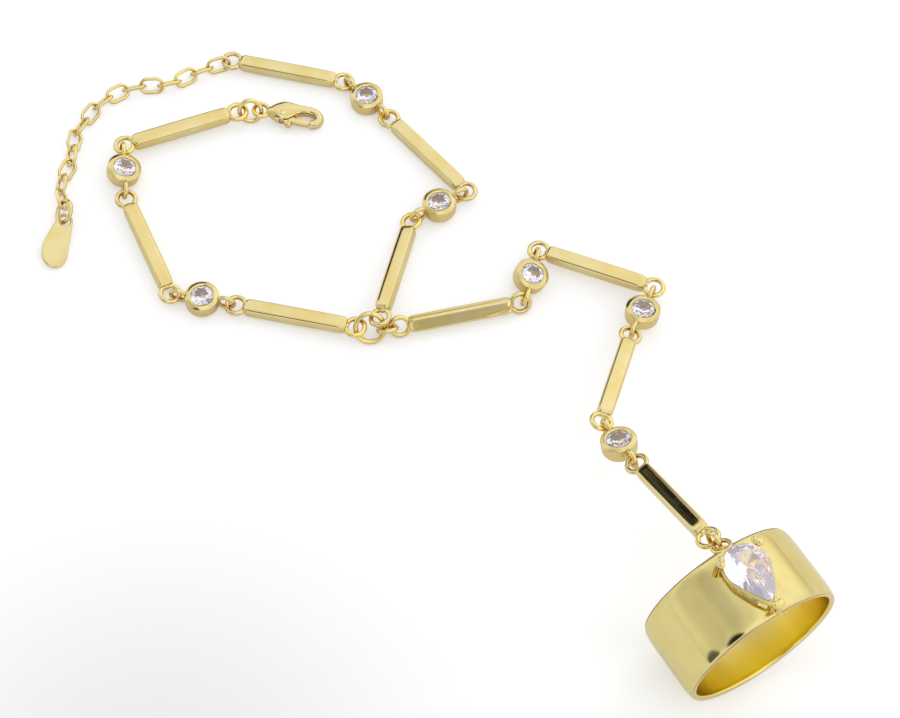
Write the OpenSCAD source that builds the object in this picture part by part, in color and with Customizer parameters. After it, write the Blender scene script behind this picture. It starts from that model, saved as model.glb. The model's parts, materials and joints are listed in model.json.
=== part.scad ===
// Hand chain bracelet: bars and round bezel links make the wrist chain and the hand chain, which
// ends in a wide finger ring with a pear-cut stone. It lies as it is photographed: +X to the
// right, +Y away, +Z up, with its origin under the middle of the whole piece.

/* [Bars] */
// Length of a bar, from the middle of one eye to the middle of the other
bar_len = 15; // [11:0.5:20]
// Width of a bar
bar_w = 1.9; // [1.5:0.1:2.4]
// Thickness of a bar
bar_t = 1.5; // [1.2:0.1:1.8]
// Chamfer along the edges of a bar
bar_chamfer = 0.18; // [0.05:0.01:0.3]
// Radius of a bar's eye, to the middle of its wire
eye_r = 1.15; // [1.1:0.05:1.4]
// Wire of a bar's eye
eye_wire = 0.6; // [0.45:0.05:0.65]

/* [Bezel links] */
// Diameter of a bezel cup
cup_d = 4.2; // [3.8:0.1:5]
// Height of a bezel cup
cup_h = 2.2; // [2.1:0.1:2.8]
// Diameter of a round stone
stone_d = 3.2; // [2.6:0.1:3.4]
// Radius of a bezel's loop, to the middle of its wire
loop_r = 1.0; // [0.95:0.05:1.2]
// Wire of a bezel's loop
loop_wire = 0.54; // [0.4:0.02:0.6]
// Depth of a loop's wire in the wall of its cup
loop_seat = 0.42; // [0.3:0.02:0.5]

/* [Small rings] */
// Radius of the ring where the three chains meet, to the middle of its wire
junction_r = 1.75; // [1.7:0.05:2.2]
// Wire of that ring
junction_wire = 0.6; // [0.45:0.05:0.6]
// Radius of the small rings at the two ends of the hand chain
link_r = 1.15; // [1.1:0.05:1.4]
// Wire of those rings
link_wire = 0.54; // [0.4:0.02:0.6]
// Radius of the clasp's ring
clasp_ring_r = 1.4; // [1.3:0.05:1.7]
// Wire of the clasp's ring
clasp_ring_wire = 0.56; // [0.4:0.02:0.6]

/* [Clasp] */
// Length of the clasp beyond its eye
clasp_len = 7.4; // [7:0.2:10]
// Thickness of the clasp
clasp_t = 1.75; // [1.6:0.05:2.1]
// Thickness of the lever inside the clasp
lever_t = 0.75; // [0.6:0.05:0.85]
// Radius of the lever's pin
pin_r = 0.35; // [0.3:0.01:0.4]
// Running clearance of the lever on its pin
pin_clear = 0.05; // [0.03:0.01:0.08]

/* [Extender] */
// Pitch of the extender's links
link_pitch = 2.3; // [2.1:0.1:3]
// Outer width of an extender link
link_w = 2.15; // [2:0.05:2.6]
// Wire of an extender link
chain_wire = 0.42; // [0.3:0.02:0.44]
// Radius of the ring at the extender's end
end_ring_r = 1.4; // [1.3:0.05:1.7]
// Wire of the ring at the extender's end
end_ring_wire = 0.54; // [0.4:0.02:0.56]
// Length of the drop-shaped tag
tag_len = 7.6; // [6.5:0.1:9]
// Width of the tag
tag_w = 3.5; // [3:0.1:4.4]
// Thickness of the tag
tag_t = 0.5; // [0.4:0.05:0.6]

/* [Finger ring] */
// Inner diameter of the finger ring
finger_d = 17.3; // [15:0.1:21]
// Wall of the finger ring
band_t = 0.9; // [0.7:0.05:1.4]
// Width of the finger ring
band_w = 9; // [8.4:0.2:12]
// Direction that the front of the finger ring faces
band_heading = -58; // [-75:1:-45]

/* [Pear stone] */
// Length of the pear-cut stone
pear_len = 7.6; // [6:0.1:8.4]
// Width of the pear-cut stone
pear_w = 5; // [4.2:0.1:6]
// Height of the stone's girdle above the band
pear_lift = 1.9; // [1.7:0.1:3]
// Diameter of a prong's head
prong_d = 1.1; // [0.9:0.05:1.3]
// Height of the rail under the stone
rail_h = 0.5; // [0.4:0.05:0.6]

/* [Hidden] */

gold = "#E3C65B";
crystal = "#E6E0EC";

// Middle of the whole piece on the floor, measured from the middle of the junction ring
MIDDLE = [5.07, -3.6];
// Clearance between a stone and the metal around it
stone_gap = 0.05;
// How far a loop's outer wire lies from the middle of the eye that it hangs in
slack = 0.28;
// How far an eye lies below the middle of the loop that it hangs in
eye_drop = 0.29;
// Rounded lower edge of a bezel cup
cup_edge = 0.7;

// Each row of an arm is a bar or a bezel in turn, starting with a bar: its heading from +X, how
// far it leans to its left, both in degrees, and its share of the climb to the finger ring. Where
// its far eye or loop hangs in the next one in another way than the usual one, the last column
// says how: how far on, to the left and up, along the bar there
LEFT_ARM = [
    [167, 0, 0],
    [170, 0, 0, [0.2, 0.05, -0.2]],
    [115, -6, 0],
    [97, -18, 0],
    [20, 0, 0]];
RIGHT_ARM = [
    [76, 17, 0],
    [30, 4, 0, [0.15, -0.1, -0.15]],
    [131, 3, 0],
    [135, 0, 0],
    [167, 0, 0]];
HAND_ARM = [
    [13, -50, 0, [0.35, -0.4, 0.45]],
    [77, -18, 0, [0.2, 0.05, -0.2]],
    [-22, 0, 0.04, [0.05, -0.15, -0.1]],
    [-114, 0, 0.07, [0.1, -0.05, 0.2]],
    [-107, 8, 0.27, [0.1, 0.15, -0.25]],
    [-63, 0, 0.18, [0.05, 0.05, 0.15]],
    [-61, -14, 0.44]];

// Where the arms hang on the junction ring: the angle on the ring, then how far the middle of the
// eye or link lies from the wire there: along its heading, to its left and up
ON_JUNCTION = [
    ["left arm", 190, 0.13, -0.27, 0.25],
    ["right arm", 41, 0.14, 0.14, 0],
    ["hand link", -6, 0.37, 0, 0]];
junction_tilt = 42;
hand_link_heading = 12;
hand_link_lean = 44;

// Headings of the extender's links, from the last bar to the end ring
LINK_HEADINGS = [200, 203, 213, 196, 183, 195, 212, 224, 240, 244, 262, 272, 248, 268, 284];
link_lean = 47;
end_link_lean = 60;
// Play between two links
link_play = 0.18;
end_ring_lean = -45;
tag_heading = 260;
tag_lean = 14;

clasp_ring_heading = 4;
clasp_ring_tilt = 58;
clasp_heading = -8;

// Sections along a bar, as shares of its length, its width and its thickness
BAR_SECTIONS = [
    [0, 0.62, 0.5],
    [0.02, 0.84, 0.78],
    [0.06, 0.97, 0.93],
    [0.25, 1, 1],
    [0.5, 1, 1.06],
    [0.75, 1, 1],
    [0.94, 0.97, 0.93],
    [0.98, 0.84, 0.78],
    [1, 0.62, 0.5]];
bar_bulge = 1.06;

loop_axis_z = loop_r + loop_wire / 2;
hook = cup_d / 2 - loop_seat + loop_wire / 2 + 2 * loop_r;
junction_z = junction_r * sin(junction_tilt) + junction_wire / 2;
band_r = finger_d / 2 + band_t;

function forward(heading) = [cos(heading), sin(heading), 0];
function leftward(heading) = [-sin(heading), cos(heading), 0];
function total(list, last) = last < 0 ? 0 : list[last] + total(list, last - 1);

// How high the middle of a leaning bar and the loops of a leaning bezel lie above the floor
function bar_rest(lean) = max(
    bar_w / 2 * abs(sin(lean)) + bar_t * bar_bulge / 2 * cos(lean),
    eye_r * abs(sin(lean)) + eye_wire / 2);
function bezel_rest(lean) = max(
    (loop_axis_z - cup_edge) * cos(lean) + (cup_d / 2 - cup_edge) * abs(sin(lean)) + cup_edge,
    loop_axis_z);
function eye_height(bar_lean, bezel_lean, drop) =
    max(bar_rest(bar_lean), bezel_rest(bezel_lean) - drop);

// Heights of the joints along an arm: the higher of what the two pieces there need, and the climb
function lean_of(rows, i) = i < len(rows) ? rows[i][1] : 0;
function shift_of(rows, i) = len(rows[i]) > 3 ? rows[i][3]
    : [slack, 0, i % 2 == 0 ? eye_drop : -eye_drop];
function joint_height(rows, i, climb) =
    (i % 2 == 0 ? eye_height(lean_of(rows, i), lean_of(rows, i + 1), shift_of(rows, i)[2])
                : eye_height(lean_of(rows, i + 1), lean_of(rows, i), -shift_of(rows, i)[2]))
    + climb * total([for (row = rows) row[2]], i);

// Walks along an arm and gives each piece's two ends: the middles of a bar's eyes, or the outer
// wires of a bezel's loops
function level_step(from, heading, reach, z) =
    [for (k = [0:1]) from[k] + sqrt(reach * reach - pow(z - from[2], 2)) * forward(heading)[k]];
function walk(rows, from, last_z, climb, i = 0) = i == len(rows) ? [] :
    let (is_bar = i % 2 == 0,
         shift = shift_of(rows, i),
         z = i == len(rows) - 1 ? last_z
           : joint_height(rows, i, climb) - (is_bar ? 0 : shift[2]),
         to = concat(level_step(from, rows[i][0], is_bar ? bar_len : 2 * hook, z), z),
         turn = is_bar || i == len(rows) - 1 ? rows[i][0] : rows[i + 1][0],
         next = to + shift[0] * forward(turn) + shift[1] * leftward(turn) + [0, 0, shift[2]])
    concat([[from, to]], walk(rows, next, last_z, climb, i + 1));
function heading_of(ends) = atan2(ends[1][1] - ends[0][1], ends[1][0] - ends[0][0]);
function pitch_of(ends) = asin((ends[1][2] - ends[0][2]) / norm(ends[1] - ends[0]));

// The junction ring and what hangs on it
junction_at = [-MIDDLE[0], -MIDDLE[1], junction_z];
function on_junction(angle) = junction_at + junction_r
    * [cos(angle), sin(angle) * cos(junction_tilt), sin(angle) * sin(junction_tilt)];
function seat(row, heading) = on_junction(row[1]) + row[2] * forward(heading)
    + row[3] * leftward(heading) + [0, 0, row[4]];
left_start = seat(ON_JUNCTION[0], LEFT_ARM[0][0]);
right_start = seat(ON_JUNCTION[1], RIGHT_ARM[0][0]);
hand_link_at = seat(ON_JUNCTION[2], hand_link_heading);
hand_start = hand_link_at + (link_r + 0.4) * forward(hand_link_heading);

// The finger ring's loop: it slopes down from the back edge of the band, and the last small ring
// hangs in it
ring_loop_slope = 35;
ring_link_pitch = 48;
ring_loop_seat = 0.3;
ring_loop_back = band_w / 2 - ring_loop_seat + loop_r * cos(ring_loop_slope);
ring_loop_z = 2 * band_r - band_t / 2 - (loop_r - 0.2) * sin(ring_loop_slope);
loop_wire_back = ring_loop_back + loop_r * cos(ring_loop_slope);
loop_wire_z = ring_loop_z - loop_r * sin(ring_loop_slope);
ring_link_reach = link_r - (loop_wire + link_wire) / 2 - 0.17;
ring_link_back = loop_wire_back + ring_link_reach * cos(ring_link_pitch);
ring_link_z = loop_wire_z - ring_link_reach * sin(ring_link_pitch);
last_eye_back = ring_link_back + link_r * cos(ring_link_pitch) + 0.2;
last_eye_z = ring_link_z - link_r * sin(ring_link_pitch);
floor_eye_z = eye_height(0, 0, eye_drop);
climb = last_eye_z - floor_eye_z;

clasp_ring_z = clasp_ring_r * sin(clasp_ring_tilt) + clasp_ring_wire / 2;
LEFT = walk(LEFT_ARM, left_start, clasp_ring_z, 0);
RIGHT = walk(RIGHT_ARM, right_start, floor_eye_z, 0);
HAND = walk(HAND_ARM, hand_start, last_eye_z, climb);

// Each bar and bezel by its number: its arm's row and its two ends
BARS = [
    [LEFT_ARM[4], LEFT[4]], [LEFT_ARM[2], LEFT[2]], [LEFT_ARM[0], LEFT[0]],
    [RIGHT_ARM[0], RIGHT[0]], [RIGHT_ARM[2], RIGHT[2]], [RIGHT_ARM[4], RIGHT[4]],
    [HAND_ARM[0], HAND[0]], [HAND_ARM[2], HAND[2]], [HAND_ARM[4], HAND[4]],
    [HAND_ARM[6], HAND[6]]];
BEZELS = [
    [LEFT_ARM[1], LEFT[1]], [LEFT_ARM[3], LEFT[3]], [RIGHT_ARM[1], RIGHT[1]],
    [RIGHT_ARM[3], RIGHT[3]], [HAND_ARM[1], HAND[1]], [HAND_ARM[3], HAND[3]],
    [HAND_ARM[5], HAND[5]]];

// The finger ring stands where the hand chain ends
last_eye = HAND[6][1];
ring_at = [last_eye[0], last_eye[1], 0] + last_eye_back * forward(band_heading) + [0, 0, band_r];

// The clasp hangs in its ring beyond the first bar
clasp_eye_r = 0.95;
clasp_eye_wire = 0.54;
clasp_ring_at = LEFT[4][1] + slack * forward(LEFT_ARM[4][0])
    + clasp_ring_r * forward(clasp_ring_heading);
clasp_at = clasp_ring_at + clasp_ring_r * forward(clasp_ring_heading);
clasp_pitch = -asin((clasp_at[2] - 0.39 * clasp_t) / (0.9 * clasp_len + clasp_eye_r));

// Sets a piece in its place: local +X along the heading, +Y to the left, +Z up
module place(at, heading, pitch = 0, lean = 0) {
    translate(at) rotate([0, 0, heading]) rotate([0, -pitch, 0]) rotate([-lean, 0, 0]) children();
}

module between(ends, lean) {
    place((ends[0] + ends[1]) / 2, heading_of(ends), pitch_of(ends), lean) children();
}

module wire_ring(radius, wire) {
    rotate_extrude($fn = 48) translate([radius, 0]) circle(d = wire, $fn = 20);
}

// Points of one bar section, a rectangle with chamfered corners
function section_points(x, w, t, c) = [
    [x, w / 2, t / 2 - c], [x, w / 2 - c, t / 2], [x, c - w / 2, t / 2], [x, -w / 2, t / 2 - c],
    [x, -w / 2, c - t / 2], [x, c - w / 2, -t / 2], [x, w / 2 - c, -t / 2], [x, w / 2, c - t / 2]];

// A closed solid through rings of points, each ring with the same number of them
module skin(rings) {
    n = len(rings[0]);
    last = len(rings) - 1;
    polyhedron(
        points = [for (ring = rings) each ring],
        faces = concat(
            [[for (k = [0:n - 1]) k]],
            [for (i = [0:last - 1], k = [0:n - 1])
                [i * n + k, (i + 1) * n + k, (i + 1) * n + (k + 1) % n, i * n + (k + 1) % n]],
            [[for (k = [n - 1:-1:0]) last * n + k]]));
}

module bar_shape() {
    body = bar_len - 2 * (eye_r - eye_wire / 4);
    color(gold) {
        skin([for (s = BAR_SECTIONS)
            section_points((s[0] - 0.5) * body, s[1] * bar_w, s[2] * bar_t, bar_chamfer)]);
        for (side = [-1, 1]) translate([side * bar_len / 2, 0, 0]) wire_ring(eye_r, eye_wire);
    }
}

module bar(number) {
    between(BARS[number - 1][1], BARS[number - 1][0][1]) bar_shape();
}

// A bezel's profile and its stone share these sizes, measured up from the bottom of the cup
stone_r = stone_d / 2;
crown_h = 0.15 * stone_d;
pavilion_h = 0.42 * stone_d;
girdle_h = 0.04;
girdle_z = cup_h - crown_h + 0.03;
opening_r = stone_r - 0.1;
rim_r = (cup_d / 2 + opening_r) / 2;

module cup_profile() {
    cup_r = cup_d / 2;
    top = min(0.3, (cup_r - opening_r) / 2);
    difference() {
        union() {
            square([cup_r - cup_edge, cup_h]);
            translate([0, cup_edge]) square([cup_r, cup_h - cup_edge - top]);
            translate([cup_r - cup_edge, cup_edge]) circle(r = cup_edge, $fn = 48);
            translate([0, cup_h - top]) square([cup_r - top, top]);
            translate([cup_r - top, cup_h - top]) circle(r = top, $fn = 32);
        }
        polygon([
            [-1, girdle_z - pavilion_h - 0.2],
            [0, girdle_z - pavilion_h - 0.2],
            [stone_r + stone_gap, girdle_z - stone_gap],
            [stone_r + stone_gap, girdle_z + girdle_h + stone_gap],
            [opening_r, girdle_z + girdle_h + 0.16],
            [opening_r + 0.02, cup_h - 0.12],
            [opening_r + 0.16, cup_h + 1],
            [-1, cup_h + 1]]);
    }
}

module bezel_shape() {
    color(gold) {
        translate([0, 0, -loop_axis_z]) rotate_extrude($fn = 64) intersection() {
            cup_profile();
            square([cup_d, cup_h * 2]);
        }
        for (side = [-1, 1]) translate([side * (hook - loop_r), 0, 0]) rotate([90, 0, 0])
            wire_ring(loop_r, loop_wire);
    }
}

module bezel(number) {
    between(BEZELS[number - 1][1], BEZELS[number - 1][0][1]) bezel_shape();
}

// Points of a cut stone around an outline: its table, crown, girdle, pavilion and point
function ring_points(outline, share, z) = [for (p = outline) [p[0] * share, p[1] * share, z]];
module cut_stone(outline, mid_outline, table, crown, girdle, pavilion) {
    points = concat(
        ring_points(mid_outline, table, crown + girdle),
        ring_points(outline, 1, girdle),
        ring_points(outline, 1, 0),
        ring_points(mid_outline, 0.45, -0.62 * pavilion),
        [[0, 0, -pavilion]]);
    hull() polyhedron(points = points, faces = [[for (k = [0:len(points) - 1]) k]]);
}

module round_stone_shape() {
    round = [for (k = [0:15]) stone_r * [cos(k * 22.5), sin(k * 22.5)]];
    half = [for (k = [0:7]) stone_r * [cos(k * 45), sin(k * 45)]];
    color(crystal) translate([0, 0, girdle_z - loop_axis_z])
        cut_stone(round, half, 0.55, crown_h, girdle_h, pavilion_h);
}

module stone(number) {
    between(BEZELS[number - 1][1], BEZELS[number - 1][0][1]) round_stone_shape();
}

module junction_ring() {
    color(gold) translate(junction_at) rotate([junction_tilt, 0, 0])
        wire_ring(junction_r, junction_wire);
}

module hand_link() {
    color(gold) place(hand_link_at, hand_link_heading, 0, hand_link_lean)
        wire_ring(link_r, link_wire);
}

module clasp_ring() {
    color(gold) place(clasp_ring_at, clasp_ring_heading, 0, -clasp_ring_tilt)
        wire_ring(clasp_ring_r, clasp_ring_wire);
}

// The clasp in its own plan: +X from its eye to its tip, the lever on the -Y side. Sections along
// the body: middle, direction, width and thickness, lengths as shares of the clasp's length
CLASP_SECTIONS = [
    [0, 0, 0, 0.12, 0.5],
    [0.06, 0, 5, 0.19, 0.68],
    [0.15, 0.01, 5, 0.3, 0.9],
    [0.28, 0.03, 8, 0.36, 1],
    [0.42, 0.07, 10, 0.29, 0.96],
    [0.54, 0.11, 8, 0.17, 0.84],
    [0.66, 0.125, 0, 0.13, 0.76],
    [0.77, 0.12, -14, 0.13, 0.76],
    [0.87, 0.075, -50, 0.13, 0.76],
    [0.91, 0, -90, 0.13, 0.76],
    [0.88, -0.075, -130, 0.13, 0.74],
    [0.81, -0.115, -165, 0.12, 0.7],
    [0.765, -0.12, -175, 0.1, 0.6]];
pin_at = clasp_len * [0.28, -0.05];
gate_y = -0.12 * clasp_len;
gate_end = 0.735 * clasp_len;
lever_h = 0.1 * clasp_len;
knob_at = clasp_len * [0.4, -0.2];
slot_t = lever_t + 0.25;

module clasp_place() {
    place(clasp_at, clasp_heading, clasp_pitch) translate([clasp_eye_r - 0.15, 0, 0]) children();
}

function soft(a) = sign(a) * pow(abs(a), 0.75);
function clasp_ring_points(s) = [for (k = [0:11])
    let (across = soft(cos(k * 30)) * s[3] * clasp_len / 2)
    [s[0] * clasp_len - sin(s[2]) * across, s[1] * clasp_len + cos(s[2]) * across,
     soft(sin(k * 30)) * s[4] * clasp_t / 2]];

// The space that the lever lies and swings in, cut through the middle of the clasp
module lever_space() {
    translate(pin_at) circle(r = lever_h + 0.1, $fn = 32);
    translate([pin_at[0] - 0.3, -clasp_len / 2])
        square([0.56 * clasp_len - pin_at[0] + 0.3, clasp_len / 2 + 0.3]);
}

module clasp_body() {
    color(gold) clasp_place() {
        difference() {
            skin([for (s = CLASP_SECTIONS) clasp_ring_points(s)]);
            translate([0, 0, -slot_t / 2]) linear_extrude(slot_t) lever_space();
        }
        translate([pin_at[0], pin_at[1], -slot_t / 2 - 0.1])
            cylinder(r = pin_r, h = slot_t + 0.2, $fn = 32);
        translate([0.15 - clasp_eye_r, 0, 0]) wire_ring(clasp_eye_r, clasp_eye_wire);
    }
}

module lever_outline() {
    end_r = 0.045 * clasp_len;
    bend = [0.5 * clasp_len, gate_y];
    hull() {
        translate(pin_at) circle(r = lever_h, $fn = 32);
        translate(bend) circle(r = end_r, $fn = 24);
    }
    hull() {
        translate(bend) circle(r = end_r, $fn = 24);
        translate([gate_end - end_r, gate_y]) circle(r = end_r, $fn = 24);
    }
    hull() {
        translate(pin_at + [0.3, -0.2]) circle(r = 0.5, $fn = 24);
        translate(knob_at) circle(r = 0.38, $fn = 24);
    }
}

module clasp_lever() {
    color(gold) clasp_place() difference() {
        union() {
            translate([0, 0, -lever_t / 2]) linear_extrude(lever_t) lever_outline();
            translate([knob_at[0], knob_at[1], 0]) sphere(r = lever_t / 2 + 0.08, $fn = 32);
        }
        translate([pin_at[0], pin_at[1], -clasp_t])
            cylinder(r = pin_r + pin_clear, h = 2 * clasp_t, $fn = 32);
    }
}

// An oval link as a wire with six sides, lying flat with its length along +X
module oval_link() {
    r = (link_w - chain_wire) / 2;
    straight = link_pitch + chain_wire + link_play - 2 * r;
    wire = chain_wire / 2;
    turns = 8;
    path = [for (side = [-1, 1], k = [0:turns])
        let (angle = 90 * side + k * 180 / turns)
        [-side * straight / 2 + r * cos(angle), r * sin(angle), angle]];
    n = len(path);
    polyhedron(
        points = [for (p = path, s = [0:5])
            [p[0] + wire * cos(s * 60) * cos(p[2]), p[1] + wire * cos(s * 60) * sin(p[2]),
             wire * sin(s * 60)]],
        faces = [for (i = [0:n - 1], s = [0:5])
            [i * 6 + s, i * 6 + (s + 1) % 6, ((i + 1) % n) * 6 + (s + 1) % 6, ((i + 1) % n) * 6 + s]]);
}

// The extender's links follow their headings from the last bar's outer eye, leaning to the left
// and to the right in turn
link_count = len(LINK_HEADINGS);
function link_middle(i) = i < 0
    ? RIGHT[4][1] + 0.75 * forward(LINK_HEADINGS[0])
    : link_middle(i - 1)
        + link_pitch / 2 * (i == 0 ? forward(LINK_HEADINGS[0])
            : forward(LINK_HEADINGS[i - 1]) + forward(LINK_HEADINGS[i]));
function lean_of_link(i) = i == 0 || i == link_count - 1 ? end_link_lean : link_lean;
function wire_rest(radius, lean, wire) = radius * abs(sin(lean)) + wire / 2;

module extender_chain() {
    color(gold) for (i = [0:link_count - 1])
        let (lean = lean_of_link(i),
             at = link_middle(i),
             z = wire_rest((link_w - chain_wire) / 2, lean, chain_wire))
        place([at[0], at[1], z], LINK_HEADINGS[i], 0, i % 2 == 0 ? lean : -lean) oval_link();
}

last_link = link_middle(link_count - 1);
end_heading = LINK_HEADINGS[link_count - 1];
end_ring_at = [last_link[0], last_link[1], wire_rest(end_ring_r, end_ring_lean, end_ring_wire)]
    + (link_pitch / 2 + end_ring_r - 0.4) * forward(end_heading);

module end_ring() {
    color(gold) place(end_ring_at, end_heading, 0, end_ring_lean)
        wire_ring(end_ring_r, end_ring_wire);
}

// The tag: a drop with a hole at its narrow end
tag_hole_r = 0.7;
tag_eye_r = 1.1;
tag_reach = tag_len - tag_eye_r;
tag_at = end_ring_at + end_ring_r * forward(end_heading) - 0.2 * leftward(tag_heading)
    - [0, 0, 0.2];
tag_pitch = -asin((tag_at[2] - tag_t / 2 - 0.5 * tag_w * sin(tag_lean)) / (tag_reach - tag_w / 2));

module end_tag() {
    color(gold) place(tag_at, tag_heading, tag_pitch, tag_lean)
        translate([0, 0, -tag_t / 2]) linear_extrude(tag_t) difference() {
            hull() {
                circle(r = tag_eye_r, $fn = 40);
                translate([tag_reach - tag_w / 2, -0.05 * tag_w]) circle(d = tag_w, $fn = 56);
            }
            circle(r = tag_hole_r, $fn = 40);
        }
}

// The finger ring in its own frame: the finger's way along +X, the stone at the top
module ring_place() {
    place(ring_at, band_heading) children();
}

module band() {
    edge = min(0.3, band_t / 3);
    inner = finger_d / 2;
    rotate([0, 90, 0]) rotate_extrude($fn = 96) {
        translate([inner, edge - band_w / 2]) square([band_t, band_w - 2 * edge]);
        translate([inner + edge, -band_w / 2]) square([band_t - 2 * edge, band_w]);
        for (side = [-1, 1], r = [inner + edge, inner + band_t - edge])
            translate([r, side * (band_w / 2 - edge)]) circle(r = edge, $fn = 32);
    }
}

// The pear stone's outline: a round arc at the back runs on into two long arcs that meet at the
// tip, which points to the front. Angles are measured from the tip's direction
pear_turn = 65;
back_r = pear_w / 2;
tip_x = pear_len - back_r;
side_r = (tip_x * tip_x + back_r * back_r - 2 * tip_x * back_r * cos(pear_turn))
    / (2 * back_r - 2 * tip_x * cos(pear_turn));
side_at = -(side_r - back_r) * [cos(pear_turn), sin(pear_turn)];
tip_turn = asin(-side_at[1] / side_r);
function side_point(share) = let (turn = tip_turn + share * (pear_turn - tip_turn))
    side_at + side_r * [cos(turn), sin(turn)];
function pear_outline(side_n, back_n) = concat(
    [for (k = [0:side_n - 1]) side_point(k / side_n)],
    [for (k = [0:back_n]) back_r * [cos(pear_turn + k * (360 - 2 * pear_turn) / back_n),
                                    sin(pear_turn + k * (360 - 2 * pear_turn) / back_n)]],
    [for (k = [side_n - 1:-1:1]) [side_point(k / side_n)[0], -side_point(k / side_n)[1]]]);
pear_z = band_r + pear_lift;
pear_x = 0.25 + back_r - pear_len / 2;

// The rail that the prongs hold under the stone's edge
module rail() {
    outline = pear_outline(8, 20);
    translate([0, 0, pear_z - 0.25 - rail_h]) linear_extrude(rail_h) difference() {
        polygon([for (p = outline) p * 1.08]);
        polygon([for (p = outline) p * 0.9]);
    }
}

// Where the three prongs stand, as directions from the middle of the round end. The one at the
// tip stands on a post of its own farther back
PRONGS = [0, 122, 238];
post_d = 0.72 * prong_d;
module prong(direction) {
    tip = direction == 0;
    edge = tip ? tip_x : back_r;
    foot = tip ? pear_z - 0.15 - rail_h : band_r - 0.6;
    rotate([0, 0, direction]) {
        translate([edge + post_d / 2 + 0.06, 0, foot])
            cylinder(d = post_d, h = pear_z + 0.62 - foot, $fn = 24);
        translate([edge + 0.3 * prong_d, 0, pear_z + 0.62]) sphere(d = prong_d, $fn = 32);
        if (tip) translate([edge - 0.45, 0, band_r - 0.6])
            cylinder(d = post_d, h = pear_lift + 0.2, $fn = 24);
    }
}

module finger_ring() {
    color(gold) ring_place() {
        band();
        translate([pear_x, 0, 0]) {
            rail();
            for (direction = PRONGS) prong(direction);
        }
        translate([-ring_loop_back, 0, ring_loop_z - band_r]) rotate([0, -ring_loop_slope, 0])
            wire_ring(loop_r, loop_wire);
    }
}

module pear_stone() {
    color(crystal) ring_place() translate([pear_x, 0, pear_z])
        cut_stone(pear_outline(4, 11), pear_outline(2, 6), 0.56, 0.75, 0.06, pear_lift - 0.2);
}

module ring_link() {
    along = forward(band_heading);
    color(gold) place([ring_at[0], ring_at[1], ring_link_z] - ring_link_back * along,
                      band_heading, 0, 90)
        wire_ring(link_r, link_wire);
}

for (number = [1:10]) bar(number);
for (number = [1:7]) bezel(number);
for (number = [1:7]) stone(number);
junction_ring();
hand_link();
clasp_ring();
clasp_body();
clasp_lever();
extender_chain();
end_ring();
end_tag();
ring_link();
finger_ring();
pear_stone();
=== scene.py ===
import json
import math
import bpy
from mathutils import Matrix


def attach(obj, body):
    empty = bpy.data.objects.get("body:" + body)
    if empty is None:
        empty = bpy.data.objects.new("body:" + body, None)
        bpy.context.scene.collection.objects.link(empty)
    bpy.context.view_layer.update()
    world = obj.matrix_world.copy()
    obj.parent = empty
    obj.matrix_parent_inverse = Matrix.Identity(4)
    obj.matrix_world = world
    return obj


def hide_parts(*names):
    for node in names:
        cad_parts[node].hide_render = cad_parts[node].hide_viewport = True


bl_info = {
    "name": "Hand chain bracelet",
    "version": (1, 0, 0),
    "blender": (4, 5, 0),
    "location": "3D View > Sidebar > Hand chain",
    "description": "Dresses a hand chain's frame with bars, set stones, clasp, extender and ring",
    "category": "Add Mesh",
}

import bmesh
import bpy
import numpy as np
from bpy.props import FloatProperty, FloatVectorProperty, PointerProperty
from mathutils import Matrix, Vector

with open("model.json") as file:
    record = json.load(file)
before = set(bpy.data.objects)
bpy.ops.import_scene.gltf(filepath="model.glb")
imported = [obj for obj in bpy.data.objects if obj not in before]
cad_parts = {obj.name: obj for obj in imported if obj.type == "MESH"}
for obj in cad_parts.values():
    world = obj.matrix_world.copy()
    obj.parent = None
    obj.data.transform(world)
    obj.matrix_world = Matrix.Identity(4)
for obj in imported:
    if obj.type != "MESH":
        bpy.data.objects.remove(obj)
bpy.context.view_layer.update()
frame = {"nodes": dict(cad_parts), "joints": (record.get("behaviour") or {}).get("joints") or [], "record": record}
BORE = next(m for m in frame["record"]["mounts"] if m["name"] == "finger_bore")
MM = 0.001
SHARP = 40  # an edge that turns by more than these degrees stays sharp


def mm(*lengths):
    """Lengths given in millimetres."""
    return [length * MM for length in lengths]


def number(name, text, value, **more):
    """A number that the user may change."""
    return FloatProperty(name=name, description=text, default=value, **more)


def size(name, text, millimetres):
    """A length, given here in millimetres."""
    return number(name, text, millimetres * MM, precision=5, subtype="DISTANCE")


def share(name, text, value):
    """A plain number from nothing to all."""
    return number(name, text, value, min=0, max=1, subtype="FACTOR")


def colour(name, text, value):
    """A colour in linear light."""
    return FloatVectorProperty(
        name=name, description=text, default=value, min=0, max=1, subtype="COLOR"
    )


class HANDCHAIN_PG_gold(bpy.types.PropertyGroup):
    plate: colour("Plating", "Polished plating", (0.83, 0.71, 0.36))
    deep: colour("Deep plating", "Where the plating is thicker", (0.80, 0.64, 0.25))
    band: colour("Band plating", "Outside of the band", (0.82, 0.715, 0.30))
    pale: colour("Solder", "Plating over solder", (0.92, 0.81, 0.50))
    polish: share("Polish", "Roughness of a polished face", 0.07)
    # painted shade: the orange-brown laid on undersides and between crowded rings
    amber_shade: colour("Amber", "Plating between crowded rings", (0.66, 0.37, 0.08))
    warm: colour("Warm plating", "Plating on wires", (1.0, 0.85, 0.26))
    # painted reflection: the deeper orange of light bounced inside the band, laid towards its front rim
    honey_reflection: colour("Honey", "Inside the band, at its front rim", (1.0, 0.81, 0.09))
    satin: share("Satin", "Roughness of the band's inside and the tag", 0.22)


class HANDCHAIN_PG_crystal(bpy.types.PropertyGroup):
    tint: colour("Tint", "Faint tint of the cut stones", (0.93, 0.89, 0.97))
    bend: number("Refraction", "Index of refraction", 2.0, min=1)
    table: share("Table", "Width of a table as a share of its stone", 0.56)
    glow: share("Glow", "Light that the stones give off evenly", 0.03)


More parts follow.
